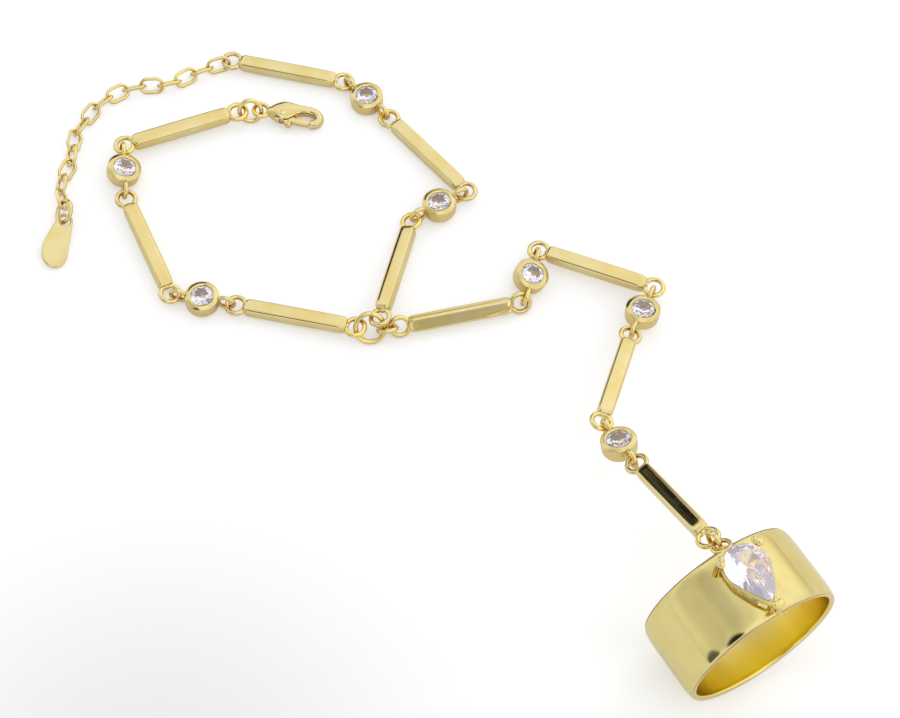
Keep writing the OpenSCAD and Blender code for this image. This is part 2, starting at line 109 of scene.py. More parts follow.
class HANDCHAIN_PG_bars(bpy.types.PropertyGroup):
    length: size("Length", "Between the middles of a bar's eyes", 15)
    width: size("Width", "Width of a bar", 1.9)
    thickness: size("Thickness", "Thickness of a bar", 1.5)
    corner: size("Corner", "Radius along a bar's edges", 0.3)
    crown: size("Crown", "How far a bar's faces bulge", 0.035)
    eye: size("Eye", "Radius of an eye's middle line", 1.15)
    wire: size("Eye wire", "Wire of an eye", 0.6)


class HANDCHAIN_PG_bezels(bpy.types.PropertyGroup):
    cup: size("Cup", "Diameter of a bezel cup", 4.2)
    height: size("Height", "Height of a bezel cup", 2.2)
    stone: size("Stone", "Diameter of a round stone", 3.2)
    loop: size("Loop", "Radius of a loop's middle line", 1.0)
    wire: size("Loop wire", "Wire of a loop", 0.54)


class HANDCHAIN_PG_ring(bpy.types.PropertyGroup):
    inner: size("Inner diameter", "Finger size of the ring", 17.3)
    wall: size("Wall", "Thickness of the band", 0.9)
    width: size("Width", "Width of the band", 9)
    pear_length: size("Stone length", "Length of the pear-cut stone", 7.6)
    pear_width: size("Stone width", "Width of the pear-cut stone", 5)
    lift: size("Lift", "Height of the stone's girdle above the band", 1.9)


class HANDCHAIN_PG_stage(bpy.types.PropertyGroup):
    paper: colour("Paper", "Colour of the table's paper", (0.76, 0.76, 0.77))
    elevation: number("Elevation", "Camera above the horizon", math.radians(61), subtype="ANGLE")
    distance: size("Distance", "From the camera to its aim", 250)
    lens: number("Lens", "Focal length in millimetres", 82.8, min=50)
    dome: number("Dome", "Strength of the light all round", 1.0, min=0)
    lamps: number("Lamps", "Strength of the soft lamps", 1.0, min=0)


class HANDCHAIN_PG_all(bpy.types.PropertyGroup):
    gold: PointerProperty(type=HANDCHAIN_PG_gold)
    crystal: PointerProperty(type=HANDCHAIN_PG_crystal)
    bars: PointerProperty(type=HANDCHAIN_PG_bars)
    bezels: PointerProperty(type=HANDCHAIN_PG_bezels)
    ring: PointerProperty(type=HANDCHAIN_PG_ring)
    stage: PointerProperty(type=HANDCHAIN_PG_stage)


def settings():
    return bpy.context.scene.hand_chain


def added(name, data):
    """A new object in the scene."""
    thing = bpy.data.objects.new(name, data)
    bpy.context.scene.collection.objects.link(thing)
    return thing


def turned(degrees, axis):
    return Matrix.Rotation(math.radians(degrees), 4, axis)


# Shader maths


def maths(operation, swapped=False):
    """An operator of a socket, as a node."""

    def apply(self, other):
        pair = (other, self) if swapped else (self, other)
        return self.finish.add("ShaderNodeMath", {"operation": operation}, dict(enumerate(pair)))

    return apply


class Value:
    """A socket of a finish, which can be used as a number in an expression."""

    def __init__(self, finish, socket):
        self.finish, self.socket = finish, socket

    __add__ = __radd__ = maths("ADD")
    __sub__, __rsub__ = maths("SUBTRACT"), maths("SUBTRACT", True)
    __mul__ = __rmul__ = maths("MULTIPLY")


class Finish:
    """A node tree, filled by the one method that adds its nodes."""

    def __init__(self, owner):
        self.owner = owner
        owner.use_nodes = True
        self.tree = owner.node_tree
        self.tree.nodes.clear()

    def add(self, kind, options=None, inputs=None, output=0):
        """Adds a node with its options, then its sockets' values or links, and gives an output."""
        node = self.tree.nodes.new(kind)
        for name, value in (options or {}).items():
            setattr(node, name, value)
        for name, value in (inputs or {}).items():
            if isinstance(value, Value):
                self.tree.links.new(value.socket, node.inputs[name])
            else:
                wanted = node.inputs[name].default_value
                short = hasattr(wanted, "__len__") and len(wanted) == 4 and len(value) == 3
                node.inputs[name].default_value = (*value, 1) if short else value
        return Value(self, node.outputs[output]) if node.outputs else node

    def mix(self, factor, first, second):
        """A colour between two colours."""
        return self.add("ShaderNodeMix", {"data_type": "RGBA"}, {0: factor, 6: first, 7: second}, 2)

    def range(self, value, low, high, to_low=0.0, to_high=1.0):
        """Takes a value smoothly from one range to another."""
        ends = {"Value": value, 1: low, 2: high, 3: to_low, 4: to_high}
        return self.add("ShaderNodeMapRange", {"interpolation_type": "SMOOTHSTEP"}, ends)

    def noise(self, where, scale, detail=2.0, rough=0.5):
        """A noise. On a piece its scale is per metre."""
        values = {"Vector": where, "Scale": scale, "Detail": detail, "Roughness": rough}
        return self.add("ShaderNodeTexNoise", {}, values)

    def measure(self, operation, first, second):
        """A number that is found from two vectors."""
        return self.add("ShaderNodeVectorMath", {"operation": operation}, {0: first, 1: second}, 1)

    def upward(self, vector):
        """The Z of a vector."""
        return self.add("ShaderNodeSeparateXYZ", {}, {0: vector}, 2)

    def close(self, inputs):
        """Sets the surface of the material."""
        shader = self.add("ShaderNodeBsdfPrincipled", {}, inputs)
        self.add("ShaderNodeOutputMaterial", {}, {"Surface": shader})
        return self.owner


LENGTHWISE, CROSSWISE = (40, 900, 1), (900, 40, 1)  # how the polishing lines are drawn out

# Each plating's two colours, roughness and what is added to it, polishing lines, grain, painted
# orange-brown shade, and how the lines are drawn out
GOLDS = {
    "bar": ("plate", "deep", "polish", 0, 0.04, 0.12, 0, LENGTHWISE),
    "wire": ("plate", "warm", "polish", 0.03, 0.22, 0.4, 0.9, (900, 30, 1)),
    "cast": ("plate", "deep", "polish", 0.04, 0.06, 0.9, 0.4, LENGTHWISE),
    "band": ("band", "deep", "polish", -0.01, 0.1, 0.2, 0, CROSSWISE),
    "inside": ("pale", "honey_reflection", "satin", 0, 0, 0, 0, CROSSWISE),
    "tag": ("plate", "deep", "satin", 0, 0.08, 0.1, 0, LENGTHWISE),
    "solder": ("pale", "plate", "polish", 0.05, 0.05, 1.0, 0.6, LENGTHWISE),
}
SHADE_REACH = 0.9 * MM  # how near other metal has to be for the painted shade to fall on the gold
REFLECTION_FROM, REFLECTION_TO = -2 * MM, 4 * MM  # places on the bore's axis, from its middle, over which the painted reflection deepens


def gold(kind):
    """Plating with faint polishing lines and pits. On undersides and where pieces crowd together it
    turns orange-brown, a painted shade. Inside the band its tone goes from rim to rim instead of
    drifting: a painted reflection, deeper orange towards the front rim."""
    name = f"{kind} gold"
    if name in bpy.data.materials:
        return bpy.data.materials[name]
    values = settings().gold
    first, second, base, more, lines, grain, amber_shade, drawn = GOLDS[kind]
    plate, deep = tuple(getattr(values, first)), tuple(getattr(values, second))
    inside = kind == "inside"
    finish = Finish(bpy.data.materials.new(name))
    where = finish.add("ShaderNodeTexCoord", output=3)
    along = finish.add("ShaderNodeUVMap", {"uv_map": "run"})
    run = finish.add("ShaderNodeVectorMath", {"operation": "MULTIPLY"}, {0: along, 1: drawn})
    strokes = finish.noise(run, 60, 3, 0.6)
    cloud = finish.noise(where, 1400, 4, 0.6)
    pits = finish.range(finish.noise(where, 9000, 1), 0.66, 0.8, 0, 0 if inside else 1)
    # Inside the band, a painted reflection: deeper orange along the bore's axis towards the front rim. Elsewhere
    # the plating deepens at random.
    if inside:
        place = finish.measure("DOT_PRODUCT", where, tuple(BORE["axis"]))
        middle = Vector(BORE["axis"]).dot(BORE["pos_m"])
        depth_and_reflection = finish.range(place, middle + REFLECTION_FROM, middle + REFLECTION_TO)
    else:
        depth_and_reflection = finish.range(finish.noise(where, 260, 3), 0.3, 0.75)
    tone = finish.mix(depth_and_reflection, plate, deep)
    tone = finish.mix(pits * 0.25, tone, tuple(c * 0.72 for c in deep))
    # painted shade: orange-brown on undersides and where other metal is near, standing in for shade and light
    # bounced between the pieces
    if amber_shade:
        normal = finish.add("ShaderNodeNewGeometry", output=1)
        free = finish.add("ShaderNodeAmbientOcclusion", {"samples": 8}, {"Distance": SHADE_REACH}, 1)
        # masks of the painted shade: facing down, and near other metal
        low = finish.range(finish.upward(normal), -0.2, 0.8, 0.6, 0)
        crowded = finish.range(free, 0.35, 0.9, 0.9, 0)
        shade = 1 - (1 - low) * (1 - crowded)
        tone = finish.mix(shade * amber_shade, tone, tuple(values.amber_shade))
    roughness = getattr(values, base) + more
    roughness += lines * 0.35 * strokes + 0.06 * finish.range(cloud, 0.45, 0.8) + 0.1 * pits
    height = strokes * lines + cloud * grain + pits * -0.3 * grain
    relief = {"Strength": 0.35, "Distance": 0.012 * MM, "Height": height}
    return finish.close(
        {
            "Base Color": tone,
            "Metallic": 1.0,
            "Roughness": roughness,
            "Specular Tint": (1.0, 0.97, 0.9),
            "Normal": finish.add("ShaderNodeBump", {}, relief),
        }
    )


def golds(*kinds):
    return [gold(kind) for kind in kinds]


def crystal(name="cut crystal", glow_gain=1.0):
    """Clear cut crystal with a faint lavender tint and a few wisps in it. It also gives off a faint
    painted glow, whiter in the wisps, that lifts its dark facets; its gain scales that glow.
    """
    if name in bpy.data.materials:
        return bpy.data.materials[name]
    values = settings().crystal
    finish = Finish(bpy.data.materials.new(name))
    where = finish.add("ShaderNodeTexCoord", output=3)
    wisps = finish.range(finish.noise(where, 900, 4, 0.65), 0.5, 0.85)
    smears = finish.range(finish.noise(where, 2600, 3), 0.55, 0.8)
    return finish.close(
        {
            "Base Color": finish.mix(wisps * 0.5, tuple(values.tint), (0.98, 0.97, 1.0)),
            "Roughness": 0.01 + 0.03 * smears,
            "IOR": values.bend,
            "Transmission Weight": 1.0,
            "Emission Color": finish.mix(wisps, (0.80, 0.76, 0.88), (1.0, 0.98, 1.0)),
            "Emission Strength": values.glow * glow_gain,
        }
    )


# Frames of the solids


def corners(node):
    """Corners of a CAD node's triangles."""
    mesh = frame["nodes"][node].data
    mesh.calc_loop_triangles()
    points = np.array([v.co for v in mesh.vertices])
    return points[np.array([t.vertices for t in mesh.loop_triangles])]


def solids(node):
    """The corners of each separate solid of a CAD node."""
    triangles = corners(node)
    keys = np.round(triangles.reshape(-1, 3) * 1e7).astype(np.int64)
    welded = np.unique(keys, axis=0, return_inverse=True)[1].reshape(-1, 3)
    label = np.arange(welded.max() + 1)
    while True:
        before = label.copy()
        for column in range(3):
            np.minimum.at(label, welded[:, column], before[welded].min(1))
        if (label == before).all():
            break
    owner = label[welded[:, 0]]
    return [triangles[owner == k] for k in np.unique(owner)]


def stance(triangles):
    """A solid's own frame: X along its longest way, Z through its thinnest and up."""
    flat = triangles.reshape(-1, 3)
    t = triangles - flat.mean(0)
    weight = np.einsum("ij,ij->i", t[:, 0], np.cross(t[:, 1], t[:, 2]))
    volume = weight.sum() / 6
    centroid = np.einsum("n,nji->i", weight, t) / 24 / volume
    spread = np.einsum("n,nji,jk,nkl->il", weight, t, (np.eye(3) + 1) / 120, t)
    ways = np.linalg.eigh(spread - volume * np.outer(centroid, centroid))[1]
    up = Vector(ways[:, 0]) * (1 if ways[2, 0] >= 0 else -1)
    ahead = Vector(ways[:, 2])
    left = up.cross(ahead)
    at = Vector()
    for way in (ahead, left, up):
        reached = flat @ np.array(way)
        at += way * float(reached.min() + reached.max()) / 2
    return Matrix.LocRotScale(at, Matrix((ahead, left, up)).transposed(), None)


def placed(at, heading, pitch=0.0, lean=0.0):
    """Local X along the heading, Y to the left, Z up, as in the part's source. In degrees."""
    return Matrix.Translation(at) @ turned(heading, "Z") @ turned(-pitch, "Y") @ turned(-lean, "X")


# Skins

WIRE, SOLDER, INSIDE = 1, 2, 3  # places of the finishes after a piece's main one
SEAM_END = 0.9  # how much of its width a jump ring's wire has at its cut ends


def circle(radius, count):
    """Points at even steps round a circle."""
    turns = [2 * math.pi * k / count for k in range(count)]
    return [(radius * math.cos(turn), radius * math.sin(turn)) for turn in turns]


def arc(middle, radius, start, stop, steps):
    """Points of a profile's rounded corner, angles in degrees."""
    turns = np.radians(np.linspace(start, stop, steps))
    return [(middle[0] + radius * math.cos(a), middle[1] + radius * math.sin(a)) for a in turns]


def squarer(value, power):
    """A circle's sine or cosine, changed so that the circle becomes a soft square."""
    return math.copysign(abs(value) ** power, value)


def ahead_at(path, k):
    """The way in which a path runs at one of its points."""
    return path[min(k + 1, len(path) - 1)] - path[max(k - 1, 0)]


def hoop(at, turn, radius, section, middle=Vector()):
    """The section of a ring's wire at one angle."""
    out = Vector((math.cos(turn), math.sin(turn), 0))
    return [at @ (middle + out * (radius + x) + Vector((0, 0, z))) for x, z in section]


class Shape:
    """Gathers the skins of one piece in its own frame, then makes its mesh in the row's frame."""

    def __init__(self, matrix):
        self.matrix = matrix
        self.points, self.faces, self.runs, self.kinds = [], [], [], []

    def skin(self, rings, joined=False, closed=True, capped=False, kind=0):
        """Joins rows of points, and joined also joins the last row to the first. Kind is the
        finish, or a list with the finish after each point of a row."""
        rings = np.array(rings, float)
        rows, count = rings.shape[:2]
        first = len(self.points)
        self.points.extend(Vector(p) for p in rings.reshape(-1, 3))
        v, u = (
            np.cumsum([0, *np.linalg.norm(np.roll(rings, -1, way) - rings, axis=2).mean(1 - way)])
            for way in (0, 1)
        )
        for i in range(rows if joined else rows - 1):
            for j in range(count if closed else count - 1):
                a, b = (i + 1) % rows, (j + 1) % count
                face = (i * count + j, i * count + b, a * count + b, a * count + j)
                self.faces.append([first + k for k in face])
                left, right, low, high = u[j], u[j + 1], v[i], v[i + 1]
                self.runs.append(((left, low), (right, low), (right, high), (left, high)))
                self.kinds.append(kind[j] if isinstance(kind, list) else kind)
        if capped:
            for row in (0, rows - 1):
                self.faces.append([first + row * count + k for k in range(count)])
                self.runs.append([tuple(rings[row, k, :2]) for k in range(count)])
                self.kinds.append(kind)

    def lathe(self, profile, at, steps=96, kind=0, closed=True):
        """Turns a profile of (radius, height) about the Z of a frame."""
        rows = [[at @ Vector((r * x, r * y, z)) for r, z in profile] for x, y in circle(1, steps)]
        self.skin(rows, joined=True, closed=closed, kind=kind)

    def ring(self, at, radius, wire, steps=96, sides=20, gap=0.0, kind=0):
        """A ring of round wire. One with a gap is a jump ring, open by that angle at its seam."""
        rows = []
        turns = steps + 1 if gap else steps
        for k in range(turns):
            width = wire * (SEAM_END if gap and k in (0, turns - 1) else 1)
            turn = gap / 2 + (2 * math.pi - gap) * k / steps
            rows.append(hoop(at, turn, radius, circle(width / 2, sides)))
        self.skin(rows, joined=not gap, capped=bool(gap), kind=kind)

    def tube(self, path, widths, sides=20, kind=0, flat=1.0):
        """A round rod along a path, with its width at each point."""
        path = [Vector(p) for p in path]
        across = None
        rows = []
        for k, here in enumerate(path):
            ahead = ahead_at(path, k).normalized()
            if across is None:
                across = ahead.orthogonal().normalized()
            across = (across - ahead * across.dot(ahead)).normalized()
            other = ahead.cross(across) * flat
            section = circle(widths[k] / 2, sides)
            rows.append([here + across * x + other * y for x, y in section])
        self.skin(rows, capped=True, kind=kind)

    def solder(self, side, start, places, widths, flat=1.0):
        """A loop's solder: a short rod along X. Its places and widths are in mm."""
        path = [(side * (start + place * MM), 0, 0) for place in places]
        self.tube(path, mm(*widths), kind=SOLDER, flat=flat)

    def ball(self, at, width, kind=0):
        """A round bead."""
        pole = 90 - math.degrees(0.001)
        profile = arc((0, 0), width / 2, -pole, pole, 15)
        self.lathe(profile, Matrix.Translation(at), 28, kind, closed=False)

    def facets(self, points, faces):
        """Flat facets of a cut stone."""
        first = len(self.points)
        self.points.extend(Vector(p) for p in points)
        for face in faces:
            self.faces.append([first + k for k in face])
            self.runs.append([tuple(points[k][:2]) for k in face])
            self.kinds.append(0)

    def mesh(self, name, finishes, sharp):
        """The mesh. It is smooth up to the sharp angle, or faceted if that is None."""
        mesh = bpy.data.meshes.new(name)
        mesh.from_pydata([self.matrix @ p for p in self.points], [], self.faces)
        run = mesh.uv_layers.new(name="run")
        run.data.foreach_set("uv", [c for face in self.runs for corner in face for c in corner])
        mesh.polygons.foreach_set("material_index", self.kinds)
        mesh.polygons.foreach_set("use_smooth", [sharp is not None] * len(self.faces))
        for finish in finishes:
            mesh.materials.append(finish)
        solid = bmesh.new()
        solid.from_mesh(mesh)
        bmesh.ops.recalc_face_normals(solid, faces=solid.faces)
        solid.to_mesh(mesh)
        solid.free()
        if sharp is not None:
            mesh.set_sharp_from_angle(angle=math.radians(sharp))
        return mesh

    def piece(
        self, name, finishes, nodes, body="bracelet", sharp=SHARP, weighted=False
    ):
        """Makes the object, which rides on a body and stands for CAD nodes."""
        thing = added(name, self.mesh(name, finishes, sharp))
        if weighted:
            weights = thing.modifiers.new("face weights", "WEIGHTED_NORMAL")
            weights.keep_sharp = True
        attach(thing, body)
        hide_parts(*nodes)
        return thing


def bulge(out, half_out, across, half_across, crown):
    """How far a face's point moves out, most in the middle of the face."""
    rise = crown * max(0.0, 1 - (across / half_across) ** 2) * (abs(out) / half_out) ** 4
    return math.copysign(rise, out)


def box_ring(x, width, thickness, corner, crown):
    """A section of a bar: a rectangle with round corners and faces that bulge a little."""
    corner = min(corner, 0.49 * width, 0.49 * thickness)
    wide, high = width / 2, thickness / 2
    arcs = []
    for quarter, (sy, sz) in enumerate(((1, 1), (-1, 1), (-1, -1), (1, -1))):
        middle = (sy * (wide - corner), sz * (high - corner))
        arcs.append(arc(middle, corner, 90 * quarter, 90 * quarter + 90, 6))
    ring = []
    for here, after in zip(arcs, arcs[1:] + arcs[:1]):
        ring += here + list(np.linspace(here[-1], after[0], 6)[1:-1])
    return [
        (x, y + bulge(y, wide, z, high, 0.6 * crown), z + bulge(z, high, y, wide, crown))
        for y, z in ring
    ]


BAR_END = 0.75 * MM  # the stretch at a bar's end in which it narrows
BAR_ENDS = (0, 0.03, 0.1, 0.22, 0.4, 0.65, 1)  # sections in that stretch, as shares of it
BAR_TIP = (0.55, 0.5)  # shares of its width and thickness that a bar has at its tip
BAR_LEAST, BAR_BELLY = 0.97, 0.05  # share that it has near its ends, and more at its middle


def bar_section(sizes, half, x):
    """A bar's section at a place along it."""
    d = min(1.0, (half - abs(x)) / BAR_END)
    fullness = math.sqrt(max(0.0, 1 - (1 - d) ** 2))
    belly = BAR_LEAST + BAR_BELLY * math.cos(math.pi * x / (2 * half))
    wide, thick = (tip + (1 - tip) * fullness for tip in BAR_TIP)
    wide *= sizes.width * min(1.0, belly)
    thick *= sizes.thickness * belly
    return box_ring(x, wide, thick, sizes.corner, sizes.crown * fullness)


class HANDCHAIN_OT_bars(bpy.types.Operator):
    """Makes the ten polished bars with their eyes"""

    bl_idname = "handchain.bars"
    bl_label = "Bars"

    def execute(self, context):
        sizes = settings().bars
        half = sizes.length / 2 - sizes.eye + sizes.wire / 4
        places = [-half + BAR_END * e for e in BAR_ENDS]
        places += list(np.linspace(-half + BAR_END, half - BAR_END, 24)[1:-1])
        places += [half - BAR_END * e for e in reversed(BAR_ENDS)]
        rows = [bar_section(sizes, half, x) for x in places]
        for k in range(1, 11):
            node = f"bar_{k}"
            shape = Shape(stance(corners(node)))
            shape.skin(rows, capped=True)
            for side in (-1, 1):
                eye = Matrix.Translation((side * sizes.length / 2, 0, 0))
                shape.ring(eye, sizes.eye, sizes.wire, kind=WIRE)
                shape.solder(side, half, (-0.35, -0.1, 0.18), (1.05, 1.0, 0.62), flat=0.8)
            shape.piece(f"polished_{node}", golds("bar", "wire", "solder"), [node], weighted=True)
        return {"FINISHED"}


AXIS = 0.02 * MM  # radius at which a turned profile starts
ROUND_CROWN, ROUND_PAVILION = 0.15, 0.42  # heights of a round stone's parts, as shares of it
STONE_RISE = 0.03 * MM  # how far a round stone stands above its cup
SEAT = 0.05 * MM  # space round a stone in its cup
LOOP_SUNK = 0.42 * MM  # how deep a loop's wire goes into its cup


def girdle_height(sizes):
    """Height of a round stone's girdle in its cup's frame."""
    top = -(sizes.loop + sizes.wire / 2) + sizes.height
    return top - ROUND_CROWN * sizes.stone + STONE_RISE


def cup_profile(sizes, cup):
    """A cup's profile, from its underside over its rim into the seat."""
    base = -(sizes.loop + sizes.wire / 2)
    top = base + sizes.height
    girdle = girdle_height(sizes)
    opening, seat = sizes.stone / 2 - 0.24 * MM, sizes.stone / 2 + SEAT
    edge = 0.7 * MM
    profile = [(AXIS, base), (0.5 * (cup - edge), base)]
    profile += arc((cup - edge, base + edge), edge, -90, 0, 9)
    profile += [(cup + 0.01 * MM, base + 0.5 * sizes.height), (cup + 0.015 * MM, top - 0.45 * MM)]
    profile += arc((cup - 0.12 * MM, top - 0.3 * MM), 0.13 * MM, 0, 55, 5)
    profile += arc((opening + 0.25 * MM, top - 0.09 * MM), 0.09 * MM, 60, 120, 4)
    profile += arc((opening + 0.1 * MM, top - 0.16 * MM), 0.09 * MM, 120, 190, 4)
    profile += [(opening, girdle + 0.26 * MM), (seat, girdle + 0.08 * MM), (seat, girdle - SEAT)]
    return profile + [(AXIS, girdle - ROUND_PAVILION * sizes.stone - 0.2 * MM)]


class HANDCHAIN_OT_bezels(bpy.types.Operator):
    """Makes the seven bezel cups with their loops"""

    bl_idname = "handchain.bezels"
    bl_label = "Bezels"

    def execute(self, context):
        sizes = settings().bezels
        cup = sizes.cup / 2
        profile = cup_profile(sizes, cup)
        reach = cup - LOOP_SUNK + sizes.wire / 2 + sizes.loop
        for k in range(1, 8):
            node = f"bezel_{k}"
            shape = Shape(stance(corners(node)))
            shape.lathe(profile, Matrix.Identity(4), closed=False)
            for side in (-1, 1):
                at = Matrix.Translation((side * reach, 0, 0)) @ turned(90, "X")
                shape.ring(at, sizes.loop, sizes.wire, kind=WIRE)
                shape.solder(side, cup, (-0.3, 0.02, 0.12), (1.0, 0.9, 0.6))
            shape.piece(f"bezel_cup_{k}", golds("cast", "wire", "solder"), [node])
        return {"FINISHED"}


MAINS = 8  # main facets round a stone
LOW = 0.26  # how far out the pavilion's lower facets meet


def brilliant(outline, table, crown, girdle, pavilion):
    """Points (table, stars, girdle's two edges, pavilion, tip) and facets of a brilliant cut. Its
    outline has several points for each main facet."""
    n, per = len(outline), len(outline) // MAINS
    flat = [Vector((x, y, 0)) for x, y in outline]
    between_mains = [flat[k * per + per // 2] for k in range(MAINS)]
    up, down = Vector((0, 0, girdle + crown)), Vector((0, 0, -pavilion))
    star, dip = 0.5 * (1 + table), math.cos(math.pi / MAINS)
    star_z = girdle + crown * (1 - star * dip) / (1 - table)
    points = [p * table + up for p in flat[::per]]
    points += [p * star + Vector((0, 0, star_z)) for p in between_mains]
    points += [p + Vector((0, 0, girdle)) for p in flat] + flat
    points += [p * LOW + Vector((0, 0, -pavilion * (1 - LOW * dip))) for p in between_mains]
    points += [down]
    s, g, b = MAINS, 2 * MAINS, 2 * MAINS + n
    low, tip = b + n, b + n + MAINS
    faces = [list(range(MAINS))]
    for k in range(MAINS):
        before, after = (k - 1) % MAINS, (k + 1) % MAINS
        faces.append([k, after, s + k])
        faces.append([k, s + k, g + k * per, s + before])
        faces.append([tip, low + k, b + k * per, low + before])
        for j in range(per):
            here, there = k * per + j, (k * per + j + 1) % n
            faces.append([s + k, g + here, g + there])
            faces.append([low + k, b + here, b + there])
            faces.append([g + here, g + there, b + there, b + here])
    return points, faces


class HANDCHAIN_OT_stones(bpy.types.Operator):
    """Makes the seven round brilliant stones"""

    bl_idname = "handchain.stones"
    bl_label = "Round stones"

    def execute(self, context):
        sizes = settings().bezels
        crown, pavilion = ROUND_CROWN * sizes.stone, ROUND_PAVILION * sizes.stone
        outline = circle(sizes.stone / 2, 32)
        cut = brilliant(outline, settings().crystal.table, crown, 0.04 * MM, pavilion)
        lifted = Matrix.Translation((0, 0, girdle_height(sizes)))
        for k in range(1, 8):
            turn = Matrix.Rotation(0.3 * k, 4, "Z")
            shape = Shape(stance(corners(f"bezel_{k}")) @ lifted @ turn)
            shape.facets(*cut)
            shape.piece(f"round_stone_{k}", [crystal()], [f"stone_{k}"], sharp=None)
        return {"FINISHED"}


# Each jump ring's radius and wire in mm, and the place of its seam in degrees
SMALL_RINGS = (
    ("junction_ring", 1.75, 0.6, 250),
    ("hand_link", 1.15, 0.54, 60),
    ("clasp_ring", 1.4, 0.56, 100),
    ("end_ring", 1.4, 0.54, 20),
    ("ring_link", 1.15, 0.54, 80),
)
SEAM = 0.035  # opening of a seam, in radians


class HANDCHAIN_OT_small_rings(bpy.types.Operator):
    """Makes the jump rings that join the chains"""

    bl_idname = "handchain.small_rings"
    bl_label = "Small rings"

    def execute(self, context):
        for node, radius, wire, seam in SMALL_RINGS:
            shape = Shape(stance(corners(node)))
            shape.ring(turned(seam, "Z"), radius * MM, wire * MM, 120, 24, gap=SEAM)
            shape.piece(f"jump_{node}", golds("wire"), [node])
        return {"FINISHED"}


LINK_WIRE, LINK_WIDTH, LINK_PITCH = mm(0.42, 2.15, 2.3)
LINK_PLAY = 0.18 * MM  # how far one link of the extender can move in the next


class HANDCHAIN_OT_extender(bpy.types.Operator):
    """Makes the extender's soldered oval links"""

    bl_idname = "handchain.extender"
    bl_label = "Extender"

    def execute(self, context):
        radius = (LINK_WIDTH - LINK_WIRE) / 2
        straight = LINK_PITCH + LINK_WIRE + LINK_PLAY - 2 * radius
        section = circle(LINK_WIRE / 2, 16)
        shape = Shape(Matrix.Identity(4))
        for triangles in solids("extender_chain"):
            stand = stance(triangles)
            rows = []
            for side in (-1, 1):
                middle = Vector((-side * straight / 2, 0, 0))
                for turn in np.radians(np.linspace(90 * side, 90 * side + 180, 25)):
                    rows.append(hoop(stand, turn, radius, section, middle))
            shape.skin(rows, joined=True)
        shape.piece("extender_links", golds("wire"), ["extender_chain"])
        return {"FINISHED"}


# The tag in mm: its place, its heading, pitch and lean in degrees, the circles (X, Y, radius)
# that its outline wraps, its eye's radius, half its thickness, its edge's radius and its bevel
TAG_AT, TAG_TURNS = Vector((-43.491, 19.135, 1.06)), (260, -4.67, 14)
TAG_CIRCLES = ((0, 0, 1.02), (3.6, -0.3, 1.55), (4.75, -0.1, 1.6), (5.1, 0.05, 1.4))
TAG_EYE, TAG_HALF, TAG_EDGE, TAG_BEVEL = 0.7, 0.25, 0.2, 0.06


def reach(outline, way):
    """How far the circles' common hull reaches from the eye's middle in one direction."""
    far, side = outline @ way, outline @ np.array((-way[1], way[0]))
    left, right = side > 0, side <= 0
    here, there = side[left][:, None], side[right][None]
    start, stop = far[left][:, None], far[right][None]
    return (start + here / (here - there) * (stop - start)).max()


def tag_section(edge):
    """The tag's section from its eye to its edge. The upper face is a little domed."""
    inner, outer, low = TAG_EYE + TAG_BEVEL, edge - TAG_EDGE, TAG_EDGE - TAG_HALF
    section = [(inner, -TAG_HALF), (TAG_EYE, TAG_BEVEL - TAG_HALF)]
    section += [(TAG_EYE, TAG_HALF - TAG_BEVEL), (inner, TAG_HALF)]
    for f in (0.15, 0.35, 0.6, 0.85, 1):
        rise = 0.02 * math.sin(math.pi * f)
        section.append((inner + (outer - inner) * f, TAG_HALF + rise))
    for a in (0.5, 0.9, 1.3):
        section.append((outer + TAG_EDGE * math.sin(a), TAG_EDGE * math.cos(a) - low))
    section.append((edge, low))
    for a in (0.4, 0.8, 1.2, math.pi / 2):
        section.append((outer + TAG_EDGE * math.cos(a), low - TAG_EDGE * math.sin(a)))
    return section


class HANDCHAIN_OT_tag(bpy.types.Operator):
    """Makes the flat drop-shaped tag at the extender's end"""

    bl_idname = "handchain.tag"
    bl_label = "Tag"

    def execute(self, context):
        shape = Shape(placed(TAG_AT * MM, *TAG_TURNS))
        outline = [(x + a, y + b) for x, y, radius in TAG_CIRCLES for a, b in circle(radius, 64)]
        rows = []
        for way in circle(1, 144):
            section = tag_section(reach(np.array(outline), way))
            rows.append([Vector((r * way[0], r * way[1], z)) * MM for r, z in section])
        shape.skin(rows, joined=True)
        shape.piece("drop_tag", golds("tag"), ["end_tag"], weighted=True)
        return {"FINISHED"}


# The clasp, in mm and in shares of its length
CLASP_LENGTH, CLASP_THICKNESS = 7.4, 1.75


def clasp_point(x, y):
    """A place in the clasp's plane, from shares of its length."""
    return Vector((x * CLASP_LENGTH, y * CLASP_LENGTH, 0))


CLASP_PIN, CLASP_KNOB = clasp_point(0.28, -0.05), clasp_point(0.4, -0.2)
CLASP_BEND, CLASP_TIP = clasp_point(0.5, -0.12), Vector((5.2, -0.12 * CLASP_LENGTH, 0))
SLOT, SLOT_ROUND = 0.5, 0.84  # half the height of the lever's slot, and its radius round the pin
LEVER_THICKNESS = 0.75

# Sections from the eye round the hook: X, Y, heading in degrees, width and share of thickness
CLASP_SECTIONS = [
    (-0.008, 0, 0, 0.08, 0.32),
    (0, 0, 0, 0.12, 0.5),
    (0.06, 0, 5, 0.2, 0.7),
    (0.15, 0.01, 5, 0.33, 0.94),
    (0.28, 0.035, 8, 0.41, 1.04),
    (0.42, 0.08, 10, 0.32, 1),
    (0.54, 0.12, 8, 0.19, 0.88),
    (0.66, 0.137, 0, 0.15, 0.8),
    (0.77, 0.13, -14, 0.15, 0.8),
    (0.87, 0.082, -50, 0.15, 0.8),
    (0.915, 0, -90, 0.15, 0.8),
    (0.88, -0.08, -130, 0.15, 0.78),
    (0.81, -0.12, -165, 0.14, 0.74),
    (0.772, -0.125, -175, 0.13, 0.7),
    (0.762, -0.125, -175, 0.11, 0.6),
]


